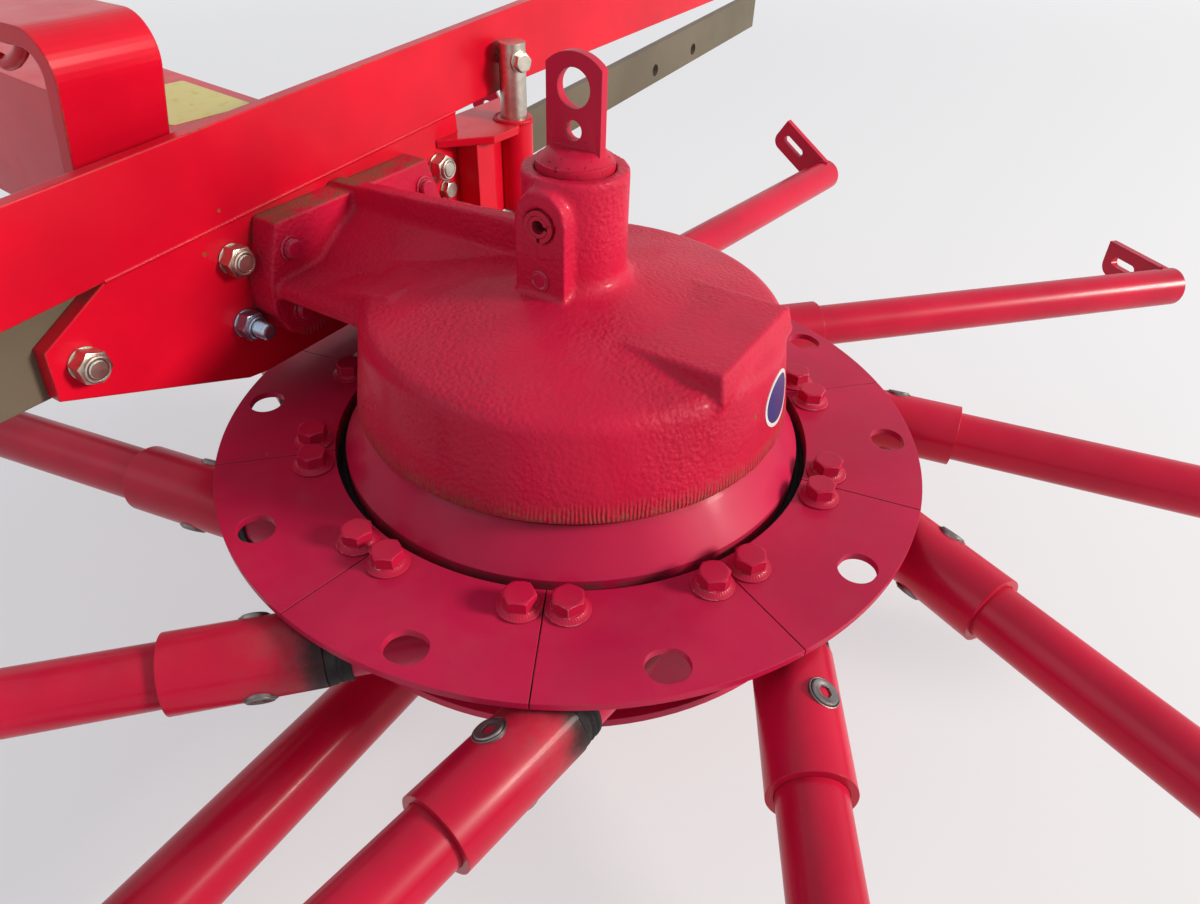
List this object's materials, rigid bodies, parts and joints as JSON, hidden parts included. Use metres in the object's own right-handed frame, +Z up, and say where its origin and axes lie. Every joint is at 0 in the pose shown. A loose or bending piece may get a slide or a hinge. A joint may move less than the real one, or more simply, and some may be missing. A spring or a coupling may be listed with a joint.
{
  "type": "rotary hay rake rotor unit",
  "caption": "Rotor unit of a rotary hay rake: cast gear housing on a centre column, turning ring with rolling tine arms, and the frame section that carries it.",
  "frame": {"origin": "foot of the centre column, on the rotor's axis", "axes": "+Z up along the rotor's axis, +X along the frame beam, +Y from the rotor towards the beam"},
  "size_m": [1.943, 1.9064, 0.6278],
  "materials": {
    "cast_paint": "gloss paint over rough casting",
    "ring_paint": "gloss paint",
    "tube_paint": "gloss paint",
    "frame_paint": "gloss paint",
    "olive_paint": "satin paint",
    "zinc": "zinc plated"
  },
  "bodies": {
    "frame": {"gear_housing": "cast_paint", "centre_column": "cast_paint", "spring_pin": "cast_paint", "inner_pin": "cast_paint", "carriage_tube": "tube_paint", "column_saddle": "tube_paint", "main_beam": "frame_paint", "headstock_plate": "frame_paint", "left_bar": "olive_paint", "holed_bar": "olive_paint", "pin_bracket": "frame_paint", "pin_post": "frame_paint", "lock_pin": "zinc", "strap": "frame_paint", "frame_tube": "frame_paint"},
    "rotor": {"rotor_hub": "ring_paint", "rotor_bell": "ring_paint", "ring_segment_1": "ring_paint", "ring_segment_2": "ring_paint", "ring_segment_3": "ring_paint", "ring_segment_4": "ring_paint", "ring_segment_5": "ring_paint", "ring_segment_6": "ring_paint", "ring_segment_7": "ring_paint", "ring_segment_8": "ring_paint", "ring_segment_9": "ring_paint", "ring_segment_10": "ring_paint"},
    "arm_1": {"arm_1": "tube_paint", "arm_sleeve_1": "tube_paint"},
    "arm_2": {"arm_2": "tube_paint", "arm_sleeve_2": "tube_paint"},
    "arm_3": {"arm_3": "tube_paint", "arm_sleeve_3": "tube_paint"},
    "arm_4": {"arm_4": "tube_paint", "arm_sleeve_4": "tube_paint"},
    "arm_5": {"arm_5": "tube_paint", "arm_sleeve_5": "tube_paint"},
    "arm_6": {"arm_6": "tube_paint", "arm_sleeve_6": "tube_paint"},
    "arm_7": {"arm_7": "tube_paint", "arm_sleeve_7": "tube_paint"},
    "arm_8": {"arm_8": "tube_paint", "arm_sleeve_8": "tube_paint"},
    "arm_9": {"arm_9": "tube_paint", "arm_sleeve_9": "tube_paint"},
    "arm_10": {"arm_10": "tube_paint", "arm_sleeve_10": "tube_paint"}
  },
  "joints": [
    {"name": "rotor_spin", "type": "hinge", "parent": "frame", "child": "rotor", "pos_m": [0, 0, 0.3], "axis": [0, 0, 1], "continuous": true},
    {"name": "arm_roll_1", "type": "hinge", "parent": "rotor", "child": "arm_1", "pos_m": [-0.18011, -0.03241, 0.258], "axis": [-0.1771, 0.9842, 0], "range_deg": [-34, 34]},
    {"name": "arm_roll_2", "type": "hinge", "parent": "rotor", "child": "arm_2", "pos_m": [-0.12666, -0.13208, 0.258], "axis": [-0.7218, 0.6921, 0], "range_deg": [0, 68]},
    {"name": "arm_roll_3", "type": "hinge", "parent": "rotor", "child": "arm_3", "pos_m": [-0.02484, -0.18131, 0.258], "axis": [-0.9907, 0.1357, 0], "range_deg": [0, 68]},
    {"name": "arm_roll_4", "type": "hinge", "parent": "rotor", "child": "arm_4", "pos_m": [0.08648, -0.16128, 0.258], "axis": [-0.8813, -0.4726, 0], "range_deg": [0, 68]},
    {"name": "arm_roll_5", "type": "hinge", "parent": "rotor", "child": "arm_5", "pos_m": [0.16476, -0.07965, 0.258], "axis": [-0.4352, -0.9003, 0], "range_deg": [0, 68]},
    {"name": "arm_roll_6", "type": "hinge", "parent": "rotor", "child": "arm_6", "pos_m": [0.18011, 0.03241, 0.258], "axis": [0.1771, -0.9842, 0], "range_deg": [0, 68]},
    {"name": "arm_roll_7", "type": "hinge", "parent": "rotor", "child": "arm_7", "pos_m": [0.12666, 0.13208, 0.258], "axis": [0.7218, -0.6921, 0], "range_deg": [0, 68]},
    {"name": "arm_roll_8", "type": "hinge", "parent": "rotor", "child": "arm_8", "pos_m": [0.02484, 0.18131, 0.258], "axis": [0.9907, -0.1357, 0], "range_deg": [-34, 34]},
    {"name": "arm_roll_9", "type": "hinge", "parent": "rotor", "child": "arm_9", "pos_m": [-0.08648, 0.16128, 0.258], "axis": [0.8813, 0.4726, 0], "range_deg": [-68, 0]},
    {"name": "arm_roll_10", "type": "hinge", "parent": "rotor", "child": "arm_10", "pos_m": [-0.16476, 0.07965, 0.258], "axis": [0.4352, 0.9003, 0], "range_deg": [-68, 0]}
  ]
}
